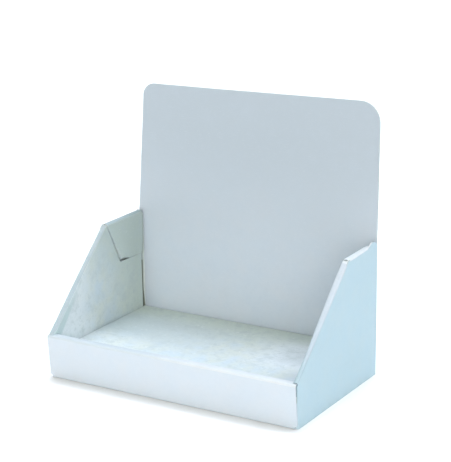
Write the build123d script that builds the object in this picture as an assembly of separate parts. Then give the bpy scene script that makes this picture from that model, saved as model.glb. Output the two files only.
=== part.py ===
from build123d import *
import math
import os

os.makedirs("parts", exist_ok=True)

# Counter display stand folded from one die-cut sheet of thin white board.
# Lengths in millimetres. While it is being folded up, x = 0 is the middle,
# y = 0 the front bottom fold, y = DEPTH the outside of the back panel and
# z = 0 the table. At the end the origin moves to the middle of the base's
# underside. +Z is up, +X runs to the right as seen from the front, and the
# header stands at the +Y side.

# ---- overall sizes -------------------------------------------------------
WIDTH = 256.0            # outside, over both side walls
DEPTH = 151.5            # bottom front fold to back panel
SIDE_HEIGHT = 123.7      # top of the side walls
HEADER_LEFT = 247.6      # top edge of the header, at its left end
HEADER_RIGHT = 250.4     # and at its right end
FRONT_HEIGHT = 41.2      # top of the front lip
FRONT_LEAN = 3.2         # the lip's outer panel springs forward by this at its top
FRONT_STRIP = 8.9        # depth of the lip's rolled top
FLOOR_TOP = 26.1         # shelf floor above the table
PEAK_Y_LEFT = 87.5       # where the sloping edge meets the top edge, left wall
PEAK_Y_RIGHT = 93.0      # the same, right wall
SLOPE_Z0 = 42.9          # the sloping edge's height at y = 0

# ---- board and folds -----------------------------------------------------
BOARD = 1.5              # caliper of the board
FOLD = 0.4               # inside radius of a crease
BEND = BOARD + FOLD      # outside radius of a crease
GAP = 0.3                # clearance between layers that lie together

# ---- header --------------------------------------------------------------
HEADER_LEAN = 10.5       # how far the header's top edge leans back
HEADER_HALF_LOW = 127.1  # half width where it leaves the side walls
HEADER_TOP_LEFT = 123.1  # from the middle to its top left corner
HEADER_TOP_RIGHT = 124.3 # and to its top right corner
CORNER_LEFT = 12.0       # corner radii of the header's top edge
CORNER_RIGHT = 19.5
LEAN_RADIUS = 60.0       # the gentle bend where the header starts to lean

# ---- side walls ----------------------------------------------------------
SIDE_ROLL = 5.1          # over the rolled sloping edge: three layers of board
TOP_ROLL = 5.7           # over the rolled top edge
FLAP_FRONT_Z = 84.8      # lower front corner of the top flap
FLAP_LOW = ((8.0, 84.3), (15.5, 82.0))  # its lower edge, this far behind the corner
FLAP_REAR_Z = 81.6       # its lower rear corner
FLAP_LEAN = 0.4          # its lower edge leans in by this
FLAP_RAKE = 19.05        # its front edge runs back by this on the way down
MITRE = 0.75             # both rolls stop this far from the peak
NOTCH = 1.25             # radius of the notch left between them, by the outer crease
BUTT = 0.3               # gap where flap and lining meet edge to edge
LINING_TOP = 81.5        # the lining's upper edge under the flap
STRIP_REAR_LEFT = 147.0  # where the rolled top edge ends, left wall
STRIP_REAR_RIGHT = 139.5 # the same, right wall
REAR_CORNER = 3.0        # rounded rear top corner of the left outer wall
# the right outer wall stands up in a rounded shoulder behind its rolled edge
SHOULDER = ((130.0, 122.0), (135.5, 124.6), (140.0, 127.7), (144.0, 127.4), (149.8, 124.4))
SHOULDER_RADII = (0, 4.0, 4.0, 5.0, 3.0)
LINING_FRONT = 6.3       # front edge of the inner wall
REAR_TOP = 1.4           # flap and lining clear the back panel by this at top,
REAR_SLACK = 4.8         # by this halfway up
REAR_LOW = 4.2           # and by this from the floor down
BASE_FLAP = 38.0         # height of the base's flaps between the two layers
DUST_FLAP = 58.0         # length of the walls' front flaps behind the lip
DUST_LEAN = 1.6          # forward lean of the walls' front edges

X_OUT = WIDTH / 2                 # outside of the walls
X_IN = X_OUT - SIDE_ROLL          # inside of the lining
FLOOR_HALF = X_IN - GAP           # half width of floor and lip lining
BASE_HALF = X_OUT - BOARD - GAP   # outside of the base's upright flaps


def folded(points, inside_radii=None, left=False):
    """Section of a folded strip: points run along one face of the board, and
    the board's thickness lies to the right of the way they run, or left."""
    side = 1.0 if left else -1.0
    n = len(points)
    if inside_radii is None:
        inside_radii = [FOLD] * (n - 2)
    dirs = []
    for (ax, ay), (bx, by) in zip(points, points[1:]):
        length = math.hypot(bx - ax, by - ay)
        dirs.append(((bx - ax) / length, (by - ay) / length))
    normals = [(-side * dy, side * dx) for dx, dy in dirs]
    other = [(points[0][0] + BOARD * normals[0][0], points[0][1] + BOARD * normals[0][1])]
    near_r, far_r = [], []
    for i in range(1, n - 1):
        (ax, ay), (bx, by) = normals[i - 1], normals[i]
        k = BOARD / (1 + ax * bx + ay * by)
        other.append((points[i][0] + k * (ax + bx), points[i][1] + k * (ay + by)))
        turn = dirs[i - 1][0] * dirs[i][1] - dirs[i - 1][1] * dirs[i][0]
        board_inside = (turn > 0) == left
        r = inside_radii[i - 1]
        near_r.append(r + BOARD if board_inside else r)
        far_r.append(r if board_inside else r + BOARD)
    other.append((points[-1][0] + BOARD * normals[-1][0], points[-1][1] + BOARD * normals[-1][1]))
    near = FilletPolyline(*points, radius=near_r)
    far = FilletPolyline(*other, radius=far_r)
    ends = Line(points[0], other[0]) + Line(points[-1], other[-1])
    return make_face(near + far + ends)


def outline(points):
    return make_face(Polyline(*points, close=True))


def rounded(face, at, radius):
    """The outline with its corner at that point rounded."""
    corner = min(face.vertices(), key=lambda v: math.hypot(v.X - at[0], v.Y - at[1]))
    return fillet(corner, radius)


def along_x(face, x0, x1):
    """Extrude a (y, z) face from x0 to x1."""
    return extrude(Plane.YZ.offset(x0) * face, x1 - x0)


def along_y(face, y0, y1):
    """Extrude an (x, z) face from y0 to y1."""
    return extrude(Plane.XZ.offset(-y1) * face, y1 - y0)


# ---- back panel and header -----------------------------------------------
# One panel, upright between the walls, then leaning back. It narrows a
# little upwards and has two rounded top corners.
back_section = folded(
    [(DEPTH + HEADER_LEAN, HEADER_RIGHT), (DEPTH, SIDE_HEIGHT), (DEPTH, 2.2)],
    inside_radii=[LEAN_RADIUS],
)
crease_left = SIDE_HEIGHT - REAR_CORNER + 0.6
crease_right = SHOULDER[-1][1] - 2.4
back_outline = outline([
    (-X_OUT + BEND - 0.3, 2.2), (X_OUT - BEND + 0.3, 2.2),
    (X_OUT - BEND + 0.3, crease_right + 0.4), (HEADER_HALF_LOW, crease_right + 0.4),
    (HEADER_HALF_LOW, SIDE_HEIGHT), (HEADER_TOP_RIGHT, HEADER_RIGHT),
    (-HEADER_TOP_LEFT, HEADER_LEFT), (-HEADER_HALF_LOW, SIDE_HEIGHT),
    (-HEADER_HALF_LOW, crease_left + 0.4), (-X_OUT + BEND - 0.3, crease_left + 0.4),
])
back_outline = rounded(back_outline, (-HEADER_TOP_LEFT, HEADER_LEFT), CORNER_LEFT)
back_outline = rounded(back_outline, (HEADER_TOP_RIGHT, HEADER_RIGHT), CORNER_RIGHT)
back = along_x(back_section, -X_OUT, X_OUT) & along_y(back_outline, 130, 180)

# ---- base, and its folds up into the back panel and the lip ----------------
base_half_cut = BASE_HALF - 0.5
base_rear = along_x(folded([(DEPTH, 30), (DEPTH, 0), (70, 0)]), -base_half_cut, base_half_cut)
lip_low = -FRONT_LEAN * 20 / FRONT_HEIGHT
base_front = along_x(folded([(80, 0), (0, 0), (lip_low, 20)]), -base_half_cut, base_half_cut)

# ---- the lip: outer panel, rolled top, lining, floor and the floor's leg ---
lip_start = -FRONT_LEAN * 2.4 / FRONT_HEIGHT
lip_section = folded([
    (lip_start, 2.4), (-FRONT_LEAN, FRONT_HEIGHT), (-FRONT_LEAN + 2.7, FRONT_HEIGHT)])
lip_half = X_OUT - 0.2
lip_outline = outline([
    (-base_half_cut, 2.0), (base_half_cut, 2.0), (lip_half, 3.8),
    (lip_half, FRONT_HEIGHT + 1), (-lip_half, FRONT_HEIGHT + 1), (-lip_half, 3.8)])
lip = along_x(lip_section, -lip_half, lip_half) & along_y(lip_outline, -20, 20)
strip_back = -FRONT_LEAN + FRONT_STRIP
lip_top = Pos(0, (-FRONT_LEAN + 2.2 + strip_back - BEND) / 2, FRONT_HEIGHT - BOARD / 2) * Box(
    2 * BASE_HALF, strip_back - BEND + FRONT_LEAN - 2.2, BOARD)
floor_rear = DEPTH - BOARD - GAP
floor_section = folded([
    (-FRONT_LEAN + 2.4, FRONT_HEIGHT), (strip_back, FRONT_HEIGHT), (strip_back, FLOOR_TOP),
    (floor_rear, FLOOR_TOP), (floor_rear, BOARD + GAP)])
floor = along_x(floor_section, -FLOOR_HALF, FLOOR_HALF)


def dust_y(z):
    """Outer face of the front flap at height z."""
    return DUST_LEAN * (1 - z / FRONT_HEIGHT)


def wall(peak_y, strip_rear, crease_top, shoulder):
    """The right-hand wall: outer panel, sloping roll, lining, top roll with
    its flap, front flap behind the lip, rear fold and the base's own flap."""
    dy, dz = peak_y, SIDE_HEIGHT - SLOPE_Z0
    length = math.hypot(dy, dz)
    s = (dy / length, dz / length)      # up the slope
    n = (-s[1], s[0])                   # out of the slope

    def on_slope(y, below):
        """Point of the line that runs below the slope by that distance."""
        p = (y, SLOPE_Z0 + y * s[1] / s[0])
        return (p[0], p[1] - below / s[0])

    # outer panel, up to where its folds begin
    low, high = 2.2, FRONT_HEIGHT - BOARD - GAP
    top = SIDE_HEIGHT - BEND + 0.2
    front = dust_y(high) + 0.1
    peak_in = (peak_y + (BEND - 0.2) * math.tan(math.atan2(s[1], s[0]) / 2), top)
    rear = DEPTH - BEND + 0.2
    rear_top, rear_radii = shoulder or (
        [(strip_rear - 0.4, top), (strip_rear - 0.4, SIDE_HEIGHT - 0.1), (rear, SIDE_HEIGHT - 0.1)],
        [0, 0, REAR_CORNER - 0.6])
    panel = outline([
        (dust_y(0) + BEND - 0.2, 0), (dust_y(low) + BEND - 0.2, low),
        (dust_y(high) + BEND - 0.2, high), (front, high), on_slope(front, BEND - 0.2), peak_in,
        *rear_top, (rear, 0)])
    for at, radius in zip(rear_top, rear_radii):
        panel = rounded(panel, at, radius) if radius else panel
    outer = along_x(panel, X_OUT - BOARD, X_OUT)
    # bare corner of the outer panel between the two rolled edges
    corner = outline([
        on_slope(peak_y - 3.0, 0.45), (peak_y + 0.1, SIDE_HEIGHT - 0.5),
        (peak_y + 3.0, SIDE_HEIGHT - 0.45), (peak_y + 3.0, SIDE_HEIGHT - 3.5),
        on_slope(peak_y - 3.0, 3.5)])
    outer += along_x(corner, X_OUT - BOARD, X_OUT)

    # rolled sloping edge: two creases, a hairpin over three layers
    leg = BEND + 0.8
    roll = folded([(X_OUT, -leg), (X_OUT, 0), (X_IN, 0), (X_IN, -leg)], left=True)
    start = on_slope(-0.6, 0)
    end_d = length - MITRE
    end = (end_d * s[0], SLOPE_Z0 + end_d * s[1])
    plane = Plane(origin=(0, end[0], end[1]), x_dir=(1, 0, 0), z_dir=(0, -s[0], -s[1]))
    slope_roll = extrude(plane * roll, math.hypot(end[0] - start[0], end[1] - start[1]))

    # lining: from the sloping roll down to the base, cut away where the top
    # flap comes down beside it
    back_face = DEPTH - BOARD
    flap_start = (peak_y + MITRE, SIDE_HEIGHT - BEND)
    flap_corner = (peak_y + MITRE + FLAP_RAKE, FLAP_FRONT_Z)
    rake = (flap_corner[0] - flap_start[0]) / (flap_start[1] - flap_corner[1])
    shift = BUTT * math.hypot(1, rake)

    def mitre_line(z):
        return (flap_start[0] + rake * (flap_start[1] - z) - shift, z)

    below = BEND - 0.2
    over_lip = FRONT_HEIGHT + 0.15
    lining = outline([
        (LINING_FRONT, BOARD + GAP), (LINING_FRONT, over_lip), (0.9, over_lip), on_slope(0.9, below),
        (end[0] - below * n[0], end[1] - below * n[1]),
        mitre_line(SIDE_HEIGHT - BEND - 1.1), mitre_line(LINING_TOP + 0.3),
        (flap_corner[0] + FLAP_LOW[1][0], LINING_TOP), (back_face - REAR_SLACK, LINING_TOP - 0.2),
        (back_face - REAR_LOW, FLOOR_TOP), (back_face - REAR_LOW, BOARD + GAP)])
    lining = along_x(lining, X_IN, X_IN + BOARD)
    # at the front the roll lies on the lip's rolled top
    slope_roll -= along_x(outline([
        (-5, 30), (LINING_FRONT, 30), (LINING_FRONT, over_lip), (-5, over_lip)]), X_IN - 1, X_OUT - BOARD)

    # rolled top edge with the flap that hangs inside
    x_flap = X_OUT - TOP_ROLL
    flap_low = FLAP_REAR_Z - 4
    flap_section = folded([
        (X_OUT, SIDE_HEIGHT - leg), (X_OUT, SIDE_HEIGHT), (x_flap, SIDE_HEIGHT),
        (x_flap - FLAP_LEAN, flap_low)], left=True)
    flap = along_y(flap_section, flap_start[0], back_face - REAR_TOP)
    inner = (100, X_OUT - BOARD - 0.6)
    flap -= along_x(outline([
        (flap_start[0] - 5, flap_start[1]), flap_start, flap_corner,
        *[(flap_corner[0] + y, z) for y, z in FLAP_LOW], (back_face - REAR_SLACK, FLAP_REAR_Z),
        (back_face, FLAP_REAR_Z), (back_face, flap_low - 5), (flap_start[0] - 5, flap_low - 5)]), *inner)
    flap -= along_x(outline([
        (strip_rear, SIDE_HEIGHT + 1), (strip_rear, SIDE_HEIGHT - BEND),
        (back_face - REAR_TOP - 0.3, SIDE_HEIGHT - 7), (back_face - REAR_SLACK, FLAP_REAR_Z),
        (back_face, FLAP_REAR_Z), (back_face, SIDE_HEIGHT + 1)]), *inner)
    flap -= along_x(outline([
        (strip_rear, SIDE_HEIGHT + 1), (strip_rear, SIDE_HEIGHT - leg - 1),
        (back_face + 1, SIDE_HEIGHT - leg - 1), (back_face + 1, SIDE_HEIGHT + 1)]),
        inner[1] - 0.1, X_OUT + 1)

    # where the two rolls meet, a notch is left beside the outer crease
    notch = Pos(X_OUT - 2.4, peak_y + 0.15, SIDE_HEIGHT - 2) * Cylinder(NOTCH, 10)
    slope_roll -= notch
    flap -= notch

    # front flap, turned in behind the lip; the fold leans with the wall's edge
    z0 = 0.1
    lean = Vector(0, -DUST_LEAN, FRONT_HEIGHT)
    flap_l = folded([
        (X_OUT, dust_y(z0) + BEND + 1), (X_OUT, dust_y(z0)), (X_OUT - DUST_FLAP, dust_y(z0))])
    dust = extrude(Plane.XY.offset(z0) * flap_l, (high - z0) * lean.length / FRONT_HEIGHT, dir=lean)
    dust -= along_y(outline([
        (X_OUT - DUST_FLAP - 1, 0), (X_OUT - DUST_FLAP + 1, 0), (X_OUT - DUST_FLAP + 7, FRONT_HEIGHT),
        (X_OUT - DUST_FLAP - 1, FRONT_HEIGHT)]), -10, 20)

    dust -= Pos((60 + BASE_HALF - 0.3) / 2, 2, 1) * Box(BASE_HALF - 0.3 - 60, 6, 2)

    # vertical fold into the back panel
    rear_l = folded([
        (X_OUT - BEND - 0.2, DEPTH), (X_OUT, DEPTH), (X_OUT, DEPTH - BEND - 1)])
    rear_fold = extrude(rear_l, crease_top)

    # the base's flap, standing between outer panel and lining
    base_l = folded([(BASE_HALF - 20, 0), (BASE_HALF, 0), (BASE_HALF, BASE_FLAP)], left=True)
    base_flap = along_y(base_l, 10, DEPTH - 7)
    base_flap -= along_x(outline([
        (9, BOARD + 1), (10, BOARD + 1), (16, BASE_FLAP + 1), (9, BASE_FLAP + 1)]), 120, 130)
    base_flap -= along_x(outline([
        (DEPTH - 6, BOARD + 1), (DEPTH - 7, BOARD + 1), (DEPTH - 13, BASE_FLAP + 1),
        (DEPTH - 6, BASE_FLAP + 1)]), 120, 130)
    return [outer, slope_roll, lining, flap, dust, rear_fold, base_flap]


right = wall(PEAK_Y_RIGHT, STRIP_REAR_RIGHT, crease_right, (SHOULDER, SHOULDER_RADII))
left = [mirror(piece, about=Plane.YZ)
        for piece in wall(PEAK_Y_LEFT, STRIP_REAR_LEFT, crease_left, None)]

stand = back + base_rear + base_front + lip + lip_top + floor
for piece in right + left:
    stand += piece
stand = Pos(0, -DEPTH / 2, 0) * stand
stand = stand.clean()

print("solids", len(stand.solids()), "volume", round(stand.volume, 1), "valid", stand.is_valid)
bb = stand.bounding_box()
print("box", bb.min, bb.max)

solid = stand.solids()[0] if len(stand.solids()) == 1 else stand
export_step(solid, "parts/stand_sheet.step")
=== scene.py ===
import math
import bmesh
import bpy
import numpy as np
from mathutils import Matrix, Vector, noise


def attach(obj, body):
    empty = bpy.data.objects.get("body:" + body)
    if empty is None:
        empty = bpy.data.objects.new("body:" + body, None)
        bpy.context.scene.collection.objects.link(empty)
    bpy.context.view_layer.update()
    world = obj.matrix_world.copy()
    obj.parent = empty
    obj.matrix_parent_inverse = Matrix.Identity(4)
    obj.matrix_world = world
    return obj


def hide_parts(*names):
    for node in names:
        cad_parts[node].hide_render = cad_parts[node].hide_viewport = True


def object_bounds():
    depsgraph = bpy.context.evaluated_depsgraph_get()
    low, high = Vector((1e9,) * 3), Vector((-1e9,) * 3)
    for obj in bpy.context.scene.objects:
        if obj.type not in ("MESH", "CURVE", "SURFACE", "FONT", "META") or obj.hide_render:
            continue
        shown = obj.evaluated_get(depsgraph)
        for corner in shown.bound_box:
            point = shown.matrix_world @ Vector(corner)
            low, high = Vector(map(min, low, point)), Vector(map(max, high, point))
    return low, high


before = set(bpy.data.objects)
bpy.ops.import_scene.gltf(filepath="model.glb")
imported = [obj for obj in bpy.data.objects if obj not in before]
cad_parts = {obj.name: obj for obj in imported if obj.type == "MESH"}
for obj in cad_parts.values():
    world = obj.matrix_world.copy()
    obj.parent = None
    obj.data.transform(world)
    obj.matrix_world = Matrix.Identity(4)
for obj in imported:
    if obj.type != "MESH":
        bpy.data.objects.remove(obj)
CAD_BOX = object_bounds()

# ---------------------------------------------------------------------------
# Sizes of the folded sheet, in millimetres. While it is being made, y = 0 is
# the front bottom fold and y = DEPTH the outside of the back panel.
# ---------------------------------------------------------------------------
WIDTH, DEPTH = 256.0, 151.5
SIDE_HEIGHT = 123.7
HEADER_LEFT, HEADER_RIGHT = 246.9, 250.1
FRONT_HEIGHT, FRONT_LEAN, FRONT_STRIP = 41.2, 3.2, 8.9
FLOOR_TOP = 26.1
PEAK_Y_LEFT, PEAK_Y_RIGHT = 87.5, 93.0
SLOPE_Z0 = 42.9
BOARD, FOLD, GAP = 1.5, 0.4, 0.3
BEND = BOARD + FOLD
HEADER_HALF_LOW, HEADER_TOP_LEFT, HEADER_TOP_RIGHT = 127.1, 123.1, 124.3
CORNER_LEFT, CORNER_RIGHT = 12.0, 19.5
LEAN_LEFT, LEAN_RIGHT, LEAN_RADIUS = 7.4, 10.35, 60.0
SIDE_ROLL, TOP_ROLL = 5.1, 5.7
FLAP_FRONT_Z, FLAP_LOW, FLAP_REAR_Z = 84.8, ((4.5, 84.85), (8.5, 84.25), (12.5, 82.9), (15.5, 82.0)), 81.6
FLAP_LEAN, FLAP_RAKE, MITRE, NOTCH, BUTT = 0.4, 19.05, 0.75, 1.25, 0.12
LINING_TOP, LINING_FRONT = 81.5, 6.3
STRIP_REAR_LEFT, STRIP_REAR_RIGHT, REAR_CORNER = 147.0, 139.5, 3.0
SHOULDER = [(130.0, 122.0), (135.5, 124.6), (140.0, 127.7), (144.0, 127.4), (149.8, 124.4)]
SHOULDER_RADII = [0, 4.0, 4.0, 5.0, 3.0]
CREASE_LEFT, CREASE_RIGHT = SIDE_HEIGHT - REAR_CORNER + 0.6, SHOULDER[-1][1] - 2.4
REAR_TOP, REAR_SLACK, REAR_LOW = 1.4, 4.8, 4.2
BASE_FLAP, DUST_FLAP, DUST_LEAN = 38.0, 58.0, 1.6
X_OUT = WIDTH / 2
X_IN = X_OUT - SIDE_ROLL
FLOOR_HALF = X_IN - GAP
BASE_HALF = X_OUT - BOARD - GAP
SOFT = 0.16              # rounding of the die-cut edges


# ---------------------------------------------------------------------------
# Paper
# ---------------------------------------------------------------------------
def linear(rgb):
    return tuple(c / 12.92 if c <= 0.04045 else ((c + 0.055) / 1.055) ** 2.4
                 for c in (v / 255 for v in rgb)) + (1.0,)


def paper(name, base, cool, warm, dark, mottle=0.5, blotch=0.3, grain=0.05, rough=0.86, bump=0.25, washes=()):
    """Uncoated board liner. base, cool, warm and dark are sRGB colours: the
    liner's own, its two tints and its flecks. mottle and blotch say how much
    the cloudy formation of the paper shows, grain how much its fibres do. A
    wash is a colour that comes in softly over one area of the sheet."""
    mat = bpy.data.materials.new(name)
    mat.use_nodes = True
    nt = mat.node_tree
    nt.nodes.clear()
    link = nt.links.new

    def node(kind, **values):
        n = nt.nodes.new(kind)
        for k, v in values.items():
            if k in n.inputs:
                n.inputs[k].default_value = v
            else:
                setattr(n, k, v)
        return n

    def mix(a, b, fac, blend="MIX"):
        m = nt.nodes.new("ShaderNodeMix")
        m.data_type = "RGBA"
        m.blend_type = blend
        for sock, v in ((m.inputs[0], fac), (m.inputs[6], a), (m.inputs[7], b)):
            if isinstance(v, bpy.types.NodeSocket):
                link(v, sock)
            else:
                sock.default_value = v
        return m.outputs[2]

    def ramp(value, lo, hi, top=1.0):
        r = node("ShaderNodeMapRange")
        r.interpolation_type = "SMOOTHSTEP"
        r.inputs["From Min"].default_value = lo
        r.inputs["From Max"].default_value = hi
        r.inputs["To Min"].default_value = 0.0
        r.inputs["To Max"].default_value = top
        link(value, r.inputs["Value"])
        return r.outputs["Result"]

    def noise_at(scale, detail=2.0, rough_=0.5, stretch=None, distortion=0.0):
        t = node("ShaderNodeTexNoise")
        t.inputs["Scale"].default_value = scale
        t.inputs["Detail"].default_value = detail
        t.inputs["Roughness"].default_value = rough_
        t.inputs["Distortion"].default_value = distortion
        if stretch:
            m = node("ShaderNodeMapping")
            m.inputs["Scale"].default_value = stretch
            link(co, m.inputs["Vector"])
            link(m.outputs[0], t.inputs["Vector"])
        else:
            link(co, t.inputs["Vector"])
        return t.outputs["Fac"]

    co = node("ShaderNodeTexCoord").outputs["Object"]
    clouds = noise_at(85.0, 3.0, 0.6)              # blotches of about 12 mm
    cloth = noise_at(330.0, 3.0, 0.62)             # the formation, about 3 mm
    tint = noise_at(62.0, 2.0, 0.5)
    fibre = noise_at(2100.0, 2.0, 0.6)             # fibres of about half a millimetre
    streak = noise_at(1.0, 2.0, 0.55, stretch=(260.0, 260.0, 1500.0))
    colour = mix(base, cool, ramp(tint, 0.48, 0.68, mottle))
    colour = mix(colour, warm, ramp(tint, 0.52, 0.32, mottle))
    # each wash mixes a colour in by position on the object; most washes given below are painted shade and painted
    # light, not the paper's own colour
    for shade, amount, edges in washes:
        mask = amount
        for direction, lo, hi in edges:
            along = node("ShaderNodeVectorMath", operation="DOT_PRODUCT")
            along.inputs[1].default_value = direction
            link(co, along.inputs[0])
            step = ramp(along.outputs["Value"], lo, hi)
            both = node("ShaderNodeMath", operation="MULTIPLY")
            for sock, v in zip(both.inputs, (step, mask)):
                if isinstance(v, bpy.types.NodeSocket):
                    link(v, sock)
                else:
                    sock.default_value = v
            mask = both.outputs[0]
        colour = mix(colour, shade, mask)
    colour = mix(colour, dark, ramp(clouds, 0.46, 0.72, blotch))
    colour = mix(colour, dark, ramp(cloth, 0.50, 0.74, blotch))
    colour = mix(colour, dark, ramp(fibre, 0.52, 0.85, grain))
    colour = mix(colour, (1.0, 1.0, 1.0, 1.0), ramp(streak, 0.55, 0.85, grain))
    bsdf = node("ShaderNodeBsdfPrincipled")
    bsdf.inputs["IOR"].default_value = 1.45
    bsdf.inputs["Specular IOR Level"].default_value = 0.28
    link(colour, bsdf.inputs["Base Color"])
    r = node("ShaderNodeMapRange")
    r.inputs["From Min"].default_value = 0.3
    r.inputs["From Max"].default_value = 0.7
    r.inputs["To Min"].default_value = rough - 0.06
    r.inputs["To Max"].default_value = rough + 0.06
    link(cloth, r.inputs["Value"])
    link(r.outputs["Result"], bsdf.inputs["Roughness"])
    height = node("ShaderNodeMath", operation="ADD")
    h1 = node("ShaderNodeMath", operation="MULTIPLY")
    h1.inputs[1].default_value = 0.6
    link(fibre, h1.inputs[0])
    link(h1.outputs[0], height.inputs[0])
    link(cloth, height.inputs[1])
    b = node("ShaderNodeBump")
    b.inputs["Strength"].default_value = bump
    b.inputs["Distance"].default_value = 0.00012
    link(height.outputs[0], b.inputs["Height"])
    link(b.outputs["Normal"], bsdf.inputs["Normal"])
    out = node("ShaderNodeOutputMaterial")
    link(bsdf.outputs[0], out.inputs["Surface"])
    return mat


def near(rgb, *shift):
    return linear(tuple(c + d for c, d in zip(rgb, shift)))


OUTSIDE, LIP, INSIDE, REVERSE, ROLLED, EDGE, SHADED_GAP, SLOPE, SHADED_ROLL, LIT_GAP, CORE_SHADE = range(11)
SIDE_RGB, LIP_RGB, INSIDE_RGB = (176, 197, 206), (193, 202, 211), (203, 213, 215)
REVERSE_RGB, ROLLED_RGB, SLOPE_RGB = (185, 195, 205), (205, 211, 215), (188, 197, 205)
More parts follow.
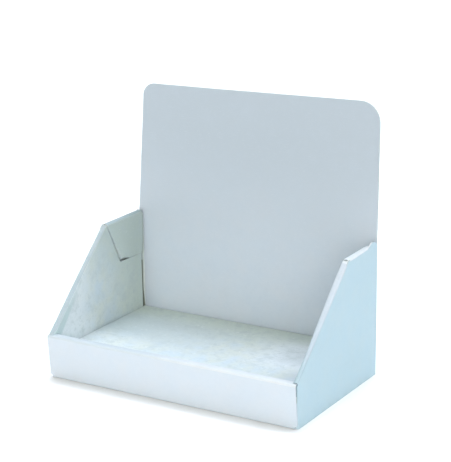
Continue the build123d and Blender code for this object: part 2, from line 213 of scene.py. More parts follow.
# these two are painted shade and painted light: a darker copy of the rolled-edge paper for the left wall's strips,
# and a lighter sheet for the gaps behind the linings
SHADED_ROLL_RGB, LIT_GAP_RGB = (167, 181, 187), (214, 225, 224)
slots = [
    paper("board_outside", linear(SIDE_RGB), near(SIDE_RGB, -3, -1, 1), near(SIDE_RGB, 3, 0, -2),
          near(SIDE_RGB, -12, -10, -9), mottle=0.4, blotch=0.10, grain=0.05),
    paper("board_lip", linear(LIP_RGB), near(LIP_RGB, -3, -1, 1), near(LIP_RGB, 3, 0, -2),
          near(LIP_RGB, -12, -10, -9), mottle=0.4, blotch=0.10, grain=0.05),
    paper("board_inside", linear(INSIDE_RGB), near(INSIDE_RGB, -6, -2, 5), near(INSIDE_RGB, 3, 0, -8),
          near(INSIDE_RGB, -20, -18, -18), mottle=0.75, blotch=0.45, grain=0.2, bump=0.4,
          washes=[
              # painted shade: a yellower tint coming in towards the back, standing for the colour of the shade there
              (near(INSIDE_RGB, -2, -1, -9), 0.9, [((0.0, 1.0, 0.0), 0.0, 0.060)]),
              # painted light: the left wall's inner face lighter towards its front
              (near(INSIDE_RGB, 15, 12, 14), 0.9, [
                  ((-1.0, 0.0, 0.0), 0.1195, 0.1215), ((0.0, -1.0, 0.0), 0.005, 0.045)]),
              # painted shade: the left wall's inner face darker high up towards the back, over its top flap
              (near(INSIDE_RGB, -21, -18, -24), 1.0, [
                  ((-1.0, 0.0, 0.0), 0.1195, 0.1215), ((0.0, 0.5, 0.86), 0.045, 0.130)]),
              # painted light: the floor lighter across its middle depth, more so towards the right
              (near(INSIDE_RGB, 20, 18, 22), 0.9, [
                  ((0.0, 0.0, -1.0), -0.030, -0.027), ((1.0, 0.0, 0.0), 0.012, 0.082),
                  ((0.0, 1.0, 0.0), -0.030, 0.004), ((0.0, -1.0, 0.0), -0.062, -0.035)]),
              # painted shadow: the right wall's soft shadow on the floor, taking back part of the light painted just
              # above
              (near(INSIDE_RGB, 2, 1, 4), 0.9, [
                  ((0.0, 0.0, -1.0), -0.030, -0.027), ((1.0, 0.0, 0.0), 0.050, 0.074),
                  ((0.0, 1.0, 0.0), -0.012, 0.008), ((0.0, -1.0, 0.0), -0.046, -0.022)]),
              # painted shade: the floor darker across its middle towards the back, on the left side
              (near(INSIDE_RGB, -13, -11, -10), 0.8, [
                  ((0.0, 0.0, -1.0), -0.030, -0.027), ((-1.0, 0.0, 0.0), -0.030, 0.060),
                  ((0.0, 1.0, 0.0), -0.028, 0.002), ((0.0, -1.0, 0.0), -0.062, -0.035)]),
              # painted light: the floor and the foot of the left wall lighter at the front left, low down
              (near(INSIDE_RGB, 28, 24, 23), 0.45, [
                  ((0.0, 0.0, -1.0), -0.052, -0.030), ((0.0, -1.0, 0.0), -0.010, 0.028),
                  ((-1.0, 0.0, 0.0), 0.040, 0.110)]),
              # painted shade: darker at the front right, low down, beside the right wall
              (near(INSIDE_RGB, -24, -24, -20), 0.9, [
                  ((0.0, 0.0, -1.0), -0.060, -0.036), ((0.0, -1.0, 0.0), 0.000, 0.026),
                  ((1.0, 0.0, 0.0), 0.074, 0.115)]),
              # a darker, cyaner band on the left wall's inner face along its sloping edge, low at the front, fading
              # upwards
              (near(INSIDE_RGB, -17, -9, -10), 0.9, [
                  ((0.0, -0.768, 0.640), 0.0722, 0.0760), ((-1.0, 0.0, 0.0), 0.1195, 0.1215),
                  ((0.0, 0.0, 1.0), 0.088, 0.050)])]),
    paper("board_reverse", linear(REVERSE_RGB), near(REVERSE_RGB, -3, -1, 1), near(REVERSE_RGB, 3, 0, -2),
          near(REVERSE_RGB, -12, -11, -10), mottle=0.4, blotch=0.14, grain=0.06,
          # painted shade: the header's face darker towards its top, evening out the light that falls brighter there
          washes=[(near(REVERSE_RGB, -18, -18, -19), 1.0, [((0.0, 0.0, 1.0), 0.060, 0.215)])]),
    paper("board_crease", linear(ROLLED_RGB), near(ROLLED_RGB, -3, -1, 1), near(ROLLED_RGB, 3, 0, -2),
          near(ROLLED_RGB, -16, -14, -12), mottle=0.5, blotch=0.25, grain=0.12, bump=0.5,
          # painted shade: the rolled edges darker towards the left, where the left wall shades them
          washes=[(near(ROLLED_RGB, -15, -11, -9), 1.0, [((1.0, 0.0, 0.0), 0.045, -0.055)])]),
    paper("board_edge", linear((175, 185, 188)), linear((169, 182, 188)), linear((181, 185, 180)),
          linear((143, 154, 159)), mottle=0.7, blotch=0.4, grain=0.3, rough=0.9, bump=0.6),
    # painted shade: a darker sheet for the faces deep in the gaps between a wall's layers and behind the linings'
    # rear edges
    paper("board_shaded_gap", linear((150, 157, 146)), linear((146, 155, 147)), linear((154, 157, 143)),
          linear((134, 140, 130)), mottle=0.6, blotch=0.3, grain=0.2, rough=0.9),
    paper("board_slope", linear(SLOPE_RGB), near(SLOPE_RGB, -3, -1, 1), near(SLOPE_RGB, 4, 0, -2),
          near(SLOPE_RGB, -16, -10, -8), mottle=0.6, blotch=0.3, grain=0.12, bump=0.5,
          washes=[(near(SIDE_RGB, -7, -13, -12), 1.0, [((0.0, 0.0, 1.0), 0.108, 0.040)]),
                  (near(SIDE_RGB, -14, -15, -16), 1.0, [((0.0, 0.0, 1.0), 0.060, 0.051)])]),
    # painted shade: a darker copy of the rolled-edge paper for the left wall's rolled strips, its wash darker still
    # towards the back
    paper("board_shaded_roll", linear(SHADED_ROLL_RGB), near(SHADED_ROLL_RGB, -3, -1, 1), near(SHADED_ROLL_RGB, 4, 0, -2),
          near(SHADED_ROLL_RGB, -16, -14, -13), mottle=0.6, blotch=0.3, grain=0.12, bump=0.5,
          washes=[(near(SHADED_ROLL_RGB, -12, -11, -15), 1.0, [((0.0, 1.0, 0.0), 0.020, 0.065)])]),
    # painted light: a lighter sheet for the gap faces higher up and nearer the opening, where the gaps would
    # otherwise fall into shade
    paper("board_lit_gap", linear(LIT_GAP_RGB), near(LIT_GAP_RGB, -3, -1, 1), near(LIT_GAP_RGB, 3, 0, -2),
          near(LIT_GAP_RGB, -16, -14, -12), mottle=0.5, blotch=0.2, grain=0.1),
    # the board's fluted core colour, darkened further as painted shade for the top of the lip's cut end, where it
    # stands off the wall
    paper("board_core_shade", linear((136, 149, 157)), linear((131, 147, 158)), linear((141, 149, 151)),
          linear((116, 129, 137)), mottle=0.6, blotch=0.4, grain=0.3, rough=0.9, bump=0.6),
]


# ---------------------------------------------------------------------------
# Mesh helpers
# ---------------------------------------------------------------------------
def unit(v):
    length = math.hypot(*v)
    return tuple(c / length for c in v)


def rounded_line(pts, radii, steps=9):
    """Open polyline with its corners rounded; steps is for a quarter turn."""
    out = [tuple(pts[0])]
    for i in range(1, len(pts) - 1):
        p, r = pts[i], radii[i - 1]
        a = unit((pts[i - 1][0] - p[0], pts[i - 1][1] - p[1]))
        b = unit((pts[i + 1][0] - p[0], pts[i + 1][1] - p[1]))
        between = math.acos(max(-1.0, min(1.0, a[0] * b[0] + a[1] * b[1])))
        turn = math.pi - between
        if r <= 0 or turn < 1e-4:
            out.append(tuple(p))
            continue
        t = r * math.tan(turn / 2)
        m = unit((a[0] + b[0], a[1] + b[1]))
        c = (p[0] + m[0] * r / math.cos(turn / 2), p[1] + m[1] * r / math.cos(turn / 2))
        s = (p[0] + a[0] * t - c[0], p[1] + a[1] * t - c[1])
        e = (p[0] + b[0] * t - c[0], p[1] + b[1] * t - c[1])
        sign = 1.0 if s[0] * e[1] - s[1] * e[0] > 0 else -1.0
        n = max(2, round(steps * turn / (math.pi / 2)))
        for k in range(n + 1):
            w = sign * turn * k / n
            out.append((c[0] + s[0] * math.cos(w) - s[1] * math.sin(w),
                        c[1] + s[0] * math.sin(w) + s[1] * math.cos(w)))
    out.append(tuple(pts[-1]))
    return out


def folded(points, inside_radii=None, left=False):
    """Closed section of a folded strip; the board's thickness lies to the
    right of the way the points run, or to the left. The tags say which of its
    sides are faces of the board, creases or cut edges."""
    side = 1.0 if left else -1.0
    n = len(points)
    if inside_radii is None:
        inside_radii = [FOLD] * (n - 2)
    dirs = [unit((b[0] - a[0], b[1] - a[1])) for a, b in zip(points, points[1:])]
    normals = [(-side * d[1], side * d[0]) for d in dirs]
    other = [(points[0][0] + BOARD * normals[0][0], points[0][1] + BOARD * normals[0][1])]
    near_r, far_r = [], []
    for i in range(1, n - 1):
        (ax, ay), (bx, by) = normals[i - 1], normals[i]
        k = BOARD / (1 + ax * bx + ay * by)
        other.append((points[i][0] + k * (ax + bx), points[i][1] + k * (ay + by)))
        turn = dirs[i - 1][0] * dirs[i][1] - dirs[i - 1][1] * dirs[i][0]
        board_inside = (turn > 0) == left
        r = inside_radii[i - 1]
        near_r.append(r + BOARD if board_inside else r)
        far_r.append(r if board_inside else r + BOARD)
    other.append((points[-1][0] + BOARD * normals[-1][0], points[-1][1] + BOARD * normals[-1][1]))
    near, far = rounded_line(points, near_r), rounded_line(other, far_r)[::-1]
    tags = []
    for line in (near, far):
        spans = [math.dist(a, b) for a, b in zip(line, line[1:])]
        short = [d < 0.6 for d in spans]
        for i, d in enumerate(spans):
            between = d < 2.0 and 0 < i < len(spans) - 1 and short[i - 1] and short[i + 1]
            tags.append(CREASE if short[i] or between else LINER)
        tags.append(CUT)
    return Tagged(near + far, tags)


def rounded_outline(pts, radii):
    """Closed outline with the named corners rounded: radii is {index: radius}."""
    n = len(pts)
    out = []
    for i, p in enumerate(pts):
        if i in radii:
            out += rounded_line([pts[i - 1], p, pts[(i + 1) % n]], [radii[i]], 14)[1:-1]
        else:
            out.append(tuple(p))
    return out


def inset(poly, e):
    """The outline moved inwards by e all round."""
    area = sum(a[0] * b[1] - b[0] * a[1] for a, b in zip(poly, poly[1:] + poly[:1]))
    side = 1.0 if area > 0 else -1.0
    out = []
    for i, p in enumerate(poly):
        a = unit((p[0] - poly[i - 1][0], p[1] - poly[i - 1][1]))
        q = poly[(i + 1) % len(poly)]
        b = unit((q[0] - p[0], q[1] - p[1]))
        na, nb = (-side * a[1], side * a[0]), (-side * b[1], side * b[0])
        k = e / max(0.3, 1 + na[0] * nb[0] + na[1] * nb[1])
        out.append((p[0] + k * (na[0] + nb[0]), p[1] + k * (na[1] + nb[1])))
    return out


LINER, CREASE, CUT = 0, 1, 2
made = []


class Tagged(list):
    """An outline whose sides are each a face of the board, a crease or a cut."""

    def __init__(self, points, tags):
        super().__init__(points)
        self.tags = tags


def new_object(bm, name="part"):
    bmesh.ops.recalc_face_normals(bm, faces=bm.faces)
    me = bpy.data.meshes.new(name)
    for slot in slots:
        me.materials.append(slot)
    bm.to_mesh(me)
    bm.free()
    ob = bpy.data.objects.new(name, me)
    bpy.context.scene.collection.objects.link(ob)
    made.append(ob)
    return ob


def rings(*loops, tags=None, caps=CUT):
    """Closed solid through loops with the same number of points."""
    bm = bmesh.new()
    vs = [[bm.verts.new(p) for p in loop] for loop in loops]
    for a, b in zip(vs, vs[1:]):
        for i in range(len(a)):
            j = (i + 1) % len(a)
            bm.faces.new((a[i], a[j], b[j], b[i])).material_index = tags[i] if tags else CUT
    bm.faces.new(vs[0][::-1]).material_index = caps
    bm.faces.new(vs[-1]).material_index = caps
    return new_object(bm)


def along_x(poly, x0, x1):
    return rings([(x0, y, z) for y, z in poly], [(x1, y, z) for y, z in poly],
                 tags=getattr(poly, "tags", None))


def along_y(poly, y0, y1):
    return rings([(x, y0, z) for x, z in poly], [(x, y1, z) for x, z in poly],
                 tags=getattr(poly, "tags", None))


def slab_x(poly, x0, x1, e=SOFT):
    """Board cut to the (y, z) outline, with its cut edges softened."""
    a, b = inset(poly, e), inset(poly, 0.29 * e)
    return rings(*[[(x, y, z) for y, z in p] for x, p in (
        (x0, a), (x0 + 0.29 * e, b), (x0 + e, poly), (x1 - e, poly), (x1 - 0.29 * e, b), (x1, a))],
        caps=LINER)


def slab_y(poly, y0, y1, e=SOFT):
    a, b = inset(poly, e), inset(poly, 0.29 * e)
    return rings(*[[(x, y, z) for x, z in p] for y, p in (
        (y0, a), (y0 + 0.29 * e, b), (y0 + e, poly), (y1 - e, poly), (y1 - 0.29 * e, b), (y1, a))],
        caps=LINER)


def combine(a, b, how):
    """a becomes a + b, a - b or a & b; b goes."""
    mod = a.modifiers.new("join", "BOOLEAN")
    mod.operation = how
    mod.solver = "MANIFOLD"
    mod.object = b
    dg = bpy.context.evaluated_depsgraph_get()
    me = bpy.data.meshes.new_from_object(a.evaluated_get(dg))
    a.modifiers.clear()
    old = a.data
    a.data = me
    bpy.data.meshes.remove(old)
    made.remove(b)
    old = b.data
    bpy.data.objects.remove(b)
    bpy.data.meshes.remove(old)
    return a


def mirrored(ob):
    bm = bmesh.new()
    bm.from_mesh(ob.data)
    bmesh.ops.scale(bm, vec=(-1, 1, 1), verts=bm.verts)
    bmesh.ops.reverse_faces(bm, faces=bm.faces)
    bm.to_mesh(ob.data)
    bm.free()
    return ob


# ---------------------------------------------------------------------------
# The sheet, panel by panel
# ---------------------------------------------------------------------------
def back_panel():
    side = X_OUT - BEND + 0.3
    poly = rounded_outline([
        (-side, 2.2), (side, 2.2), (side, CREASE_RIGHT + 0.4), (HEADER_HALF_LOW, CREASE_RIGHT + 0.4),
        (HEADER_HALF_LOW, SIDE_HEIGHT), (HEADER_TOP_RIGHT, HEADER_RIGHT),
        (-HEADER_TOP_LEFT, HEADER_LEFT), (-HEADER_HALF_LOW, SIDE_HEIGHT),
        (-HEADER_HALF_LOW, CREASE_LEFT + 0.4), (-side, CREASE_LEFT + 0.4)],
        {5: CORNER_RIGHT, 6: CORNER_LEFT})
    return slab_y(poly, DEPTH - BOARD, DEPTH)


def dust_y(z):
    return DUST_LEAN * (1 - z / FRONT_HEIGHT)


def wall(peak_y, strip_rear, crease_top, shoulder):
    dy, dz = peak_y, SIDE_HEIGHT - SLOPE_Z0
    length = math.hypot(dy, dz)
    s = (dy / length, dz / length)
    n = (-s[1], s[0])

    def on_slope(y, below):
        return (y, SLOPE_Z0 + y * s[1] / s[0] - below / s[0])

    low, high = 2.2, FRONT_HEIGHT - BOARD - GAP
    top = SIDE_HEIGHT - BEND + 0.2
    peak_in = (peak_y + (BEND - 0.2) * math.tan(math.atan2(s[1], s[0]) / 2), top)
    front, rear = dust_y(high) + 0.1, DEPTH - BEND + 0.2
    rear_top, rear_radii = shoulder or (
        [(strip_rear - 0.4, top), (strip_rear - 0.4, SIDE_HEIGHT - 0.1), (rear, SIDE_HEIGHT - 0.1)],
        [0, 0, REAR_CORNER - 0.6])
    panel = rounded_outline([
        (dust_y(0) + BEND - 0.2, 0), (dust_y(low) + BEND - 0.2, low),
        (dust_y(high) + BEND - 0.2, high), (front, high), on_slope(front, BEND - 0.2), peak_in,
        *rear_top, (rear, 0)], {6 + i: r for i, r in enumerate(rear_radii) if r})
    body = slab_x(panel, X_OUT - BOARD, X_OUT)
    corner = [
        on_slope(peak_y - 3.0, 0.45), (peak_y + 0.1, SIDE_HEIGHT - 0.5),
        (peak_y + 3.0, SIDE_HEIGHT - 0.45), (peak_y + 3.0, SIDE_HEIGHT - 3.5),
        on_slope(peak_y - 3.0, 3.5)]
    combine(body, slab_x(corner, X_OUT - BOARD, X_OUT), "UNION")

    # rolled sloping edge
    leg = BEND + 0.8
    roll = folded([(X_OUT, -leg), (X_OUT, 0), (X_IN, 0), (X_IN, -leg)], left=True)
    start = on_slope(-0.6 if shoulder else -1.8, 0)
    end_d = length - MITRE
    end = (end_d * s[0], SLOPE_Z0 + end_d * s[1])
    slope_roll = rings(*[[(x, p[0] + h * n[0], p[1] + h * n[1]) for x, h in roll] for p in (start, end)],
                       tags=roll.tags)

    # lining under it
    back_face = DEPTH - BOARD
    flap_start = (peak_y + MITRE, SIDE_HEIGHT - BEND)
    flap_corner = (peak_y + MITRE + FLAP_RAKE, FLAP_FRONT_Z)
    rake = (flap_corner[0] - flap_start[0]) / (flap_start[1] - flap_corner[1])
    shift = BUTT * math.hypot(1, rake)

    def mitre_line(z):
        return (flap_start[0] + rake * (flap_start[1] - z) - shift, z)

    below = BEND - 0.2
    over_lip = FRONT_HEIGHT + (0.15 if shoulder else -0.5)
    lining = [
        (LINING_FRONT, BOARD + GAP), (LINING_FRONT, over_lip), (0.9, over_lip), on_slope(0.9, below),
        (end[0] - below * n[0], end[1] - below * n[1]),
        mitre_line(SIDE_HEIGHT - BEND - 1.1), mitre_line(LINING_TOP + 0.3),
        (flap_corner[0] + FLAP_LOW[-1][0], LINING_TOP), (back_face - REAR_SLACK, LINING_TOP - 0.2),
        (back_face - REAR_LOW, FLOOR_TOP), (back_face - REAR_LOW, BOARD + GAP)]
    lining = slab_x(lining, X_IN, X_IN + BOARD, 0.4)
    cut = [(-5, 30), (LINING_FRONT, 30), (LINING_FRONT, over_lip), (-5, over_lip)]
    combine(slope_roll, along_x(cut, X_IN - 1, X_OUT - BOARD), "DIFFERENCE")

    # rolled top edge with its flap: the flap is a slab, the roll a section
    x_flap = X_OUT - TOP_ROLL
    flap_rear = back_face - REAR_TOP
    top_roll = along_y(folded([
        (X_OUT, SIDE_HEIGHT - leg), (X_OUT, SIDE_HEIGHT), (x_flap, SIDE_HEIGHT),
        (x_flap, SIDE_HEIGHT - leg)], left=True), flap_start[0], strip_rear)
    flap = slab_x([
        (flap_start[0] + rake * 0.2, flap_start[1] - 0.2 + 0.4), flap_corner,
        *[(flap_corner[0] + y, z) for y, z in FLAP_LOW], (back_face - REAR_SLACK, FLAP_REAR_Z),
        (flap_rear, SIDE_HEIGHT - 7), (strip_rear - 0.3, SIDE_HEIGHT - BEND + 0.2)],
        x_flap, x_flap + BOARD, 0.4)
    cut = [(flap_start[0] - 5, flap_start[1]), flap_start, (flap_start[0] + rake * 10, flap_start[1] - 10),
           (flap_start[0] - 5, flap_start[1] - 10)]
    combine(top_roll, along_x(cut, 100, X_OUT - BOARD - 0.6), "DIFFERENCE")

    # where the two rolls meet, a notch is left beside the outer crease
    for piece in (slope_roll, top_roll):
        hole = [(X_OUT - 2.3 + NOTCH * math.cos(k * math.pi / 14), peak_y + 0.25 + NOTCH * math.sin(k * math.pi / 14))
                for k in range(28)]
        combine(piece, rings(*[[(x, y, z) for x, y in hole] for z in (SIDE_HEIGHT - 7, SIDE_HEIGHT + 3)]),
                "DIFFERENCE")

    # front flap, turned in behind the lip; the fold leans with the wall's edge
    z0 = 0.1
    lean = (0.0, -DUST_LEAN, FRONT_HEIGHT)
    rise = (high - z0) / FRONT_HEIGHT
    section = folded([
        (X_OUT, dust_y(z0) + BEND + 1), (X_OUT, dust_y(z0)), (X_OUT - DUST_FLAP, dust_y(z0))])
    dust = rings(*[[(x, y + k * lean[1], z0 + k * lean[2]) for x, y in section] for k in (0.0, rise)],
                 tags=section.tags)
    cut = [(X_OUT - DUST_FLAP - 1, 0), (X_OUT - DUST_FLAP + 1, 0), (X_OUT - DUST_FLAP + 7, FRONT_HEIGHT),
           (X_OUT - DUST_FLAP - 1, FRONT_HEIGHT)]
    combine(dust, along_y(cut, -10, 20), "DIFFERENCE")
    combine(dust, along_y([(60, -1), (BASE_HALF - 0.3, -1), (BASE_HALF - 0.3, 2), (60, 2)], -10, 20), "DIFFERENCE")

    # vertical fold into the back panel
    section = folded([(X_OUT - BEND - 0.2, DEPTH), (X_OUT, DEPTH), (X_OUT, DEPTH - BEND - 1)])
    rear_fold = rings(*[[(x, y, z) for x, y in section] for z in (0.0, crease_top)],
                      tags=section.tags)

    # the base's flap, standing between outer panel and lining
    base_flap = along_y(folded([(BASE_HALF - 20, 0), (BASE_HALF, 0), (BASE_HALF, BASE_FLAP)], left=True),
                        10, DEPTH - 7)
    combine(base_flap, along_x([(9, BOARD + 1), (10, BOARD + 1), (16, BASE_FLAP + 1), (9, BASE_FLAP + 1)],
                               120, 130), "DIFFERENCE")
    combine(base_flap, along_x([(DEPTH - 6, BOARD + 1), (DEPTH - 7, BOARD + 1), (DEPTH - 13, BASE_FLAP + 1),
                                (DEPTH - 6, BASE_FLAP + 1)], 120, 130), "DIFFERENCE")
    for piece in (slope_roll, lining, top_roll, flap, dust, rear_fold, base_flap):
        combine(body, piece, "UNION")
    return body


def build_sheet():
    sheet = back_panel()
    half = BASE_HALF - 0.5
    combine(sheet, along_x(folded([(DEPTH, 30), (DEPTH, 0), (70, 0)]), -half, half), "UNION")
    low = -FRONT_LEAN * 20 / FRONT_HEIGHT
    combine(sheet, along_x(folded([(80, 0), (0, 0), (low, 20)]), -half, half), "UNION")
    lip_half = X_OUT - 0.2
    lip_start = -FRONT_LEAN * 2.4 / FRONT_HEIGHT
    lip = along_x(folded([
        (lip_start, 2.4), (-FRONT_LEAN, FRONT_HEIGHT), (-FRONT_LEAN + 2.7, FRONT_HEIGHT)]), -lip_half, lip_half)
    combine(lip, along_y([
        (-half, 2.0), (half, 2.0), (lip_half, 3.8), (lip_half, FRONT_HEIGHT + 1),
        (-lip_half, FRONT_HEIGHT + 1), (-lip_half, 3.8)], -20, 20), "INTERSECT")
    combine(sheet, lip, "UNION")
    strip_back = -FRONT_LEAN + FRONT_STRIP
    combine(sheet, along_x(Tagged([
        (-FRONT_LEAN + 2.2, FRONT_HEIGHT - BOARD), (strip_back - BEND, FRONT_HEIGHT - BOARD),
        (strip_back - BEND, FRONT_HEIGHT), (-FRONT_LEAN + 2.2, FRONT_HEIGHT)], [LINER, CUT, LINER, CUT]),
        -BASE_HALF, BASE_HALF), "UNION")
    floor_rear = DEPTH - BOARD - GAP
    combine(sheet, along_x(folded([
        (-FRONT_LEAN + 2.4, FRONT_HEIGHT), (strip_back, FRONT_HEIGHT), (strip_back, FLOOR_TOP),
        (floor_rear, FLOOR_TOP), (floor_rear, BOARD + GAP)]), -FLOOR_HALF, FLOOR_HALF), "UNION")
    combine(sheet, wall(PEAK_Y_RIGHT, STRIP_REAR_RIGHT, CREASE_RIGHT, (SHOULDER, SHOULDER_RADII)), "UNION")
    combine(sheet, mirrored(wall(PEAK_Y_LEFT, STRIP_REAR_LEFT, CREASE_LEFT, None)), "UNION")
    return sheet


def pockets(bm):
    """Faces of the tiny closed pockets left inside the board where panels meet."""
    left, found = set(bm.faces), []
    while left:
        stack, island = [left.pop()], []
        while stack:
            face = stack.pop()
            island.append(face)
            for edge in face.edges:
                for other in edge.link_faces:
                    if other in left:
                        left.remove(other)
                        stack.append(other)
        if len(island) < 40:
            found += island
    return sorted(found, key=lambda face: face.index)


stand = build_sheet()
me = stand.data
bm = bmesh.new()
bm.from_mesh(me)
bmesh.ops.remove_doubles(bm, verts=bm.verts, dist=2e-4)
bm.faces.index_update()
bmesh.ops.delete(bm, geom=pockets(bm), context="FACES")
bmesh.ops.dissolve_limit(bm, angle_limit=math.radians(0.3), verts=bm.verts, edges=bm.edges,
                         delimit={"MATERIAL"})
STEP = 6.0
for axis, lo, hi in ((0, -X_OUT, X_OUT), (1, -4.0, DEPTH), (2, 0.0, 250.0)):
    normal = [0.0, 0.0, 0.0]
    normal[axis] = 1.0
    k = math.floor(lo / STEP) + 1
    while k * STEP < hi:
        at = [0.0, 0.0, 0.0]
        at[axis] = k * STEP + 0.37
        bmesh.ops.bisect_plane(bm, geom=bm.verts[:] + bm.edges[:] + bm.faces[:], dist=1e-4,
                               plane_co=at, plane_no=normal)
        k += 1
# the shaded strip of the back panel, behind the linings' rear edges, narrows upwards
for at, slope in ((122.9, 0.0), (123.1, 1 / 9), (125.1, 0.0)):
    for sx in (-1, 1):
        bmesh.ops.bisect_plane(bm, geom=bm.verts[:] + bm.edges[:] + bm.faces[:], dist=1e-4,
                               plane_co=(sx * at, 0.0, FLOOR_TOP), plane_no=(1.0, 0.0, -sx * slope))
bm.to_mesh(me)
bm.free()
me.update()


# ---------------------------------------------------------------------------
# Which liner shows where, and where painted shade and painted light go, from the shape before it is warped
# ---------------------------------------------------------------------------
def liner_of(c, n, tag):
    x, y, z = abs(c[0]), c[1], c[2]
    out = n[0] * (1 if c[0] > 0 else -1)       # faces away from the middle
    # faces inside a wall's gaps: painted light above 70 mm, painted shade below
    if x > 123.1 and y > 2 and z < 121.8 and (
            (out < -0.5 and x > 124) or (out > 0.5 and x < 126.6)
            or math.hypot(x - 126.1, y - 149.6) < 1.0):
        return LIT_GAP if z > 70 else SHADED_GAP       # between the two layers of a wall
    # the back panel's face behind the linings' rear edges: painted shade deep in and low down, painted light
    # elsewhere
    if n[1] < -0.5 and y > 149.4 and z < 121.8 and x > 122.9:
        return SHADED_GAP if x > 125.1 or z < 44 and x > 123.1 + (z - FLOOR_TOP) / 9 else LIT_GAP
    if tag == CUT:
        # the lip's cut end is painted shade graded by height: darkest at the top, then the cut-edge and reverse
        # colours, and the lip's own colour at the foot
        if y < 1.5 and x > 126:                 # the lip's end stands off the wall at the top
            return CORE_SHADE if z > 31 else EDGE if z > 22 else REVERSE if z > 13 else LIP
        if z < 6 and y < 4:
            return LIP
        # the cut ends of the rolls low at the front: the left wall's take the darker painted-shade copy of the
        # rolled-edge paper
        if x > 121 and 36 < z < 50 and y < 12:
            return SHADED_ROLL if c[0] < 0 else SLOPE
        return ROLLED if c[0] > 0 and z > 120 and 130 < y < 142 else EDGE
    # upward faces of the walls' rolled strips: the left wall's take the darker painted-shade copy, the right wall's
    # the rolled-edge and slope papers
    if x > 121 and z > 41.6 and (n[2] > 0.5 or (tag == CREASE and n[2] > 0.05)):
        if c[0] < 0:
            return INSIDE if out < -0.9 else SHADED_ROLL
        return ROLLED if z > 122 else SLOPE
    if tag == CREASE:
        if y < 2.5 and z < 2.5 and x < 126:
            return LIP
        if y < 8 and z > 34 and (n[2] > 0.05 or y < -1.5):
            return ROLLED
        if x > 121 and z > 40 and abs(n[2]) <= 0.05 and y < 146:
            return INSIDE
        return INSIDE if (24 < z < 27 or 3 < y < 8) and abs(c[0]) < 123 else OUTSIDE
    if y > 149.4 and n[1] < -0.5:
        return REVERSE
    if y > 150 and n[1] > 0.5:
        return OUTSIDE
    if y < 0.3 and n[1] < -0.5:
        return LIP
    if 3 < y < 8 and z > 26 and n[1] > 0.5 and x < 123:
        return INSIDE
    if n[2] > 0.5:
        if 25.5 < z < 27 or z > 40:
            return ROLLED if z > 40 else INSIDE
        return REVERSE
    if n[2] < -0.5:
        return OUTSIDE if z < 0.5 else REVERSE
    if x > 127 and out > 0.5:
        return OUTSIDE
    if x < 123.6 and out < -0.5 and x > 121:
        return INSIDE
    return REVERSE


count = len(me.polygons)
centres = np.empty(count * 3)
normals = np.empty(count * 3)
index = np.empty(count, np.int32)
me.polygons.foreach_get("center", centres)
me.polygons.foreach_get("normal", normals)
me.polygons.foreach_get("material_index", index)
centres, normals = centres.reshape(-1, 3), normals.reshape(-1, 3)
index = np.array([liner_of(c, n, t) for c, n, t in zip(centres, normals, index)], np.int32)
me.polygons.foreach_set("material_index", index)


# ---------------------------------------------------------------------------
# A real folded sheet isn't quite flat: the header leans back and twists, the
# walls dish, the floor sags and the flaps' corners lift.
# ---------------------------------------------------------------------------
def smooth(t):
    t = np.clip(t, 0.0, 1.0)
    return t * t * (3 - 2 * t)


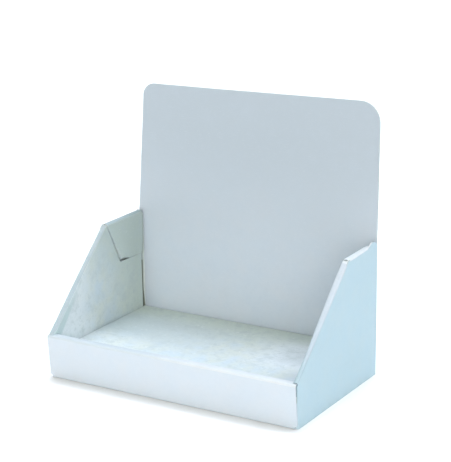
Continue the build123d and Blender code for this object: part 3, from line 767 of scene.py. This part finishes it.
def warped(p):
    x, y, z = p[:, 0].copy(), p[:, 1].copy(), p[:, 2].copy()
    ax, sx = np.abs(x), np.sign(x)
    right = x > 0
    # side walls: distance below the sloping and level top edges
    peak = np.where(right, PEAK_Y_RIGHT, PEAK_Y_LEFT)
    slope = (SIDE_HEIGHT - SLOPE_Z0) / peak
    edge_z = np.minimum(SLOPE_Z0 + slope * y, SIDE_HEIGHT)
    below = np.where(y < peak, (edge_z - z) / np.hypot(1, slope), edge_z - z)
    in_wall = ax > 121.0
    lining = np.clip((126.5 - ax) / 2.1, 0, 1) * in_wall
    dx, dy, dz = np.zeros_like(x), np.zeros_like(x), np.zeros_like(x)

    # the rolled sloping edge is tight at the front and slack at the peak
    up = np.clip((z - 46) / 72, 0, 1)
    roll_right = (-1.15 * (1 - smooth(up)) + 1.0 * smooth(up)) * (1 - smooth(below / 30)) * smooth((z - 38) / 7)
    roll_right = roll_right * (1 - smooth((y - 96) / 30))
    roll_left = 0.75 * (1 - smooth((z - 50) / 45)) * (1 - smooth((below - 3) / 9)) * smooth((z - 38) / 7)
    dx -= sx * lining * np.where(right, roll_right, roll_left) * (y < 140)

    # the right wall's level edge rises a little on its way back
    dz += right * in_wall * 1.4 * smooth((y - 98) / 36) * (1 - smooth((y - 136) / 6)) * (1 - smooth(below / 40))

    # dished outer walls
    dish = smooth(y / 40) * smooth((DEPTH - y) / 40) * smooth(z / 35) * smooth(below / 30)
    dx -= sx * in_wall * np.where(right, 0.55, 0.45) * dish

    # the top flaps hang a little inwards, and their front corners lift
    mitre = peak + MITRE + FLAP_RAKE * (SIDE_HEIGHT - BEND - z) / (SIDE_HEIGHT - BEND - FLAP_FRONT_Z)
    corner_y = peak + MITRE + FLAP_RAKE
    t = y - corner_y
    low = np.interp(t, [0, 8, 15.5, 38], [83.2, 82.9, 81.75, 81.45])
    flap = in_wall & (ax < 124.6) & (y > mitre - BUTT / 2) & (z > low) & (z < SIDE_HEIGHT - BEND + 0.3) & (y < 149.8)
    drop = (SIDE_HEIGHT - z) / 42.0
    lift = np.exp(-((y - corner_y) ** 2 + (z - FLAP_FRONT_Z) ** 2) / (2 * 11.0 ** 2))
    dx -= sx * flap * (FLAP_LEAN * smooth(drop) + np.where(right, 0.45, 0.7) * lift)

    # the floor sags towards its middle
    floor = (ax < FLOOR_HALF + 0.05) & (z > 23) & (z < 28) & (y > 4)
    dz -= floor * 0.8 * smooth((FLOOR_HALF - ax) / 55) * smooth((y - 6) / 45) * smooth((149.6 - y) / 45)

    # the lip's outer panel and its roll bow a little along the width
    lip = (y < 6) & (z > 2) & (ax < X_OUT)
    wave = np.sin(x / 41.0 + 0.7) + 0.5 * np.sin(x / 17.0 + 2.1)
    dy += lip * (y < 1.5) * (0.35 + 0.16 * wave) * smooth((X_OUT - ax) / 30) * smooth((z - 2) / 14) * (ax < 127)
    dz += lip * 0.10 * (wave - 1.0) * smooth((z - 36) / 5) * smooth((X_OUT - ax) / 20)

    # small unevenness of the board itself, the same through its thickness
    fade = smooth(z / 14)
    for k in range(len(x)):
        q = Vector((x[k] / 46, y[k] / 46, z[k] / 46))
        v = noise.noise_vector(q)
        w = noise.noise_vector(q * 5.3)
        dx[k] += fade[k] * (0.16 * v[0] + 0.03 * w[0])
        dy[k] += fade[k] * (0.16 * v[1] + 0.03 * w[1])
        dz[k] += fade[k] * (0.10 * v[2] + 0.03 * w[2])
    x, y, z = x + dx, y + dy, z + dz

    # header: bent back along its length, more at the right than at the left
    head = (p[:, 1] > 149.4) & (p[:, 2] > 0)
    t = y - (DEPTH - BOARD / 2)
    z1 = SIDE_HEIGHT - 2.5
    lean = LEAN_LEFT + (LEAN_RIGHT - LEAN_LEFT) * smooth((x + 100) / 200)
    theta = np.arctan(lean / (HEADER_RIGHT - SIDE_HEIGHT))
    rise = np.maximum(z - z1, 0)
    bend_z = LEAN_RADIUS * np.sin(theta)
    phi = np.where(rise < bend_z, np.arcsin(np.clip(rise / LEAN_RADIUS, 0, 1)), theta)
    run = np.where(rise < bend_z, LEAN_RADIUS * (1 - np.cos(phi)),
                   LEAN_RADIUS * (1 - np.cos(theta)) + (rise - bend_z) * np.tan(theta))
    bow = 0.9 * smooth(rise / 60) * smooth((HEADER_HALF_LOW - ax) / 90)
    y = np.where(head & (rise > 0), DEPTH - BOARD / 2 + run - bow + t * np.cos(phi), y)
    z = np.where(head & (rise > 0), z - t * np.sin(phi), z)
    return np.stack([x, y, z], 1)


noise.seed_set(11)
n = len(me.vertices)
co = np.empty(n * 3)
me.vertices.foreach_get("co", co)
co = warped(co.reshape(-1, 3))
co[:, 1] -= DEPTH / 2
co *= 0.001
lo, hi = (np.array(v) for v in CAD_BOX)
co = np.clip(co, lo, hi)
me.vertices.foreach_set("co", co.astype(np.float32).ravel())
me.update()

stand.name = "stand_board"
me.name = "stand_board"
me.polygons.foreach_set("use_smooth", np.ones(len(me.polygons), bool))
me.set_sharp_from_angle(angle=math.radians(50))
weigh = stand.modifiers.new("weigh", "WEIGHTED_NORMAL")
weigh.mode = "FACE_AREA"
weigh.keep_sharp = True
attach(stand, "root")
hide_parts("stand_sheet")

# ---------------------------------------------------------------------------
# Camera, floor and light
# ---------------------------------------------------------------------------
AZ, EL, ROLL, FOCAL, DIST = math.radians(30.96), math.radians(15.9), math.radians(-0.68), 1600.0, 1.430
TARGET = Vector((0.00907, 0.00925, 0.13602))
back = Vector((math.sin(AZ) * math.cos(EL), -math.cos(AZ) * math.cos(EL), math.sin(EL)))
side = (-back).cross(Vector((0, 0, 1))).normalized()
up = side.cross(-back)
right_axis = side * math.cos(ROLL) + up * math.sin(ROLL)
up_axis = -side * math.sin(ROLL) + up * math.cos(ROLL)
cam_data = bpy.data.cameras.new("camera")
cam_data.sensor_width = 36.0
cam_data.lens = FOCAL * 36.0 / 462.0
cam_data.clip_start, cam_data.clip_end = 0.05, 60.0
cam = bpy.data.objects.new("camera", cam_data)
bpy.context.scene.collection.objects.link(cam)
turn = np.array([[right_axis[i], up_axis[i], back[i]] for i in range(3)])
place = np.eye(4)
place[:3, :3] = turn
place[:3, 3] = TARGET + back * DIST
cam.matrix_world = Matrix(place.tolist())
bpy.context.scene.camera = cam

bm = bmesh.new()
bmesh.ops.create_circle(bm, cap_ends=True, radius=9.0, segments=96)
ground_me = bpy.data.meshes.new("ground")
bm.to_mesh(ground_me)
bm.free()
ground = bpy.data.objects.new("ground", ground_me)
ground.location = (0, 0, -0.0002)
bpy.context.scene.collection.objects.link(ground)
ground_mat = bpy.data.materials.new("ground")
ground_mat.use_nodes = True
g = ground_mat.node_tree.nodes["Principled BSDF"]
g.inputs["Base Color"].default_value = (0.96, 0.96, 0.96, 1)
g.inputs["Roughness"].default_value = 0.9
g.inputs["Specular IOR Level"].default_value = 0.1
ground_me.materials.append(ground_mat)

# pale backdrop behind the floor's horizon; it is only looked at and lights nothing
bm = bmesh.new()
bmesh.ops.create_uvsphere(bm, u_segments=64, v_segments=32, radius=8.8)
bmesh.ops.reverse_faces(bm, faces=bm.faces)
drop_me = bpy.data.meshes.new("backdrop")
bm.to_mesh(drop_me)
bm.free()
drop = bpy.data.objects.new("backdrop", drop_me)
bpy.context.scene.collection.objects.link(drop)
drop_mat = bpy.data.materials.new("backdrop")
drop_mat.use_nodes = True
nodes = drop_mat.node_tree.nodes
nodes.clear()
glow = nodes.new("ShaderNodeEmission")
glow.inputs["Color"].default_value = (1.0, 1.0, 1.0, 1.0)
glow.inputs["Strength"].default_value = 1.0
drop_mat.node_tree.links.new(glow.outputs[0], nodes.new("ShaderNodeOutputMaterial").inputs["Surface"])
drop_me.materials.append(drop_mat)
drop.visible_diffuse = drop.visible_glossy = drop.visible_transmission = drop.visible_shadow = False

world = bpy.data.worlds.new("studio")
bpy.context.scene.world = world
world.use_nodes = True
world.node_tree.nodes["Background"].inputs["Color"].default_value = (0.92, 1.0, 0.94, 1)
world.node_tree.nodes["Background"].inputs["Strength"].default_value = 0.305


def lamp(name, kind, energy, colour, aim, angle=0.0):
    data = bpy.data.lights.new(name, kind)
    data.energy = energy
    data.color = colour
    data.angle = math.radians(angle)
    ob = bpy.data.objects.new(name, data)
    ob.rotation_mode = "QUATERNION"
    ob.rotation_quaternion = Vector(aim).to_track_quat("-Z", "Y")
    ob.location = -Vector(aim).normalized() * 3
    bpy.context.scene.collection.objects.link(ob)
    return ob


# aim is the way the light travels
lamp("overhead", "SUN", 1.64, (0.82, 0.893, 1.0), (0.10, -0.26, -1.0), 24)
lamp("left", "SUN", 0.73, (0.908, 0.892, 1.0), (0.45, -0.18, -1.0), 26)
lamp("right", "SUN", 1.52, (0.82, 0.893, 1.0), (-0.7, -0.5, -0.8), 40)
lamp("front", "SUN", 2.99, (1.0, 0.962, 0.904), (-0.35, 1.0, -0.20), 60)
bpy.context.scene.view_settings.view_transform = "Standard"
bpy.context.scene.view_settings.look = "None"
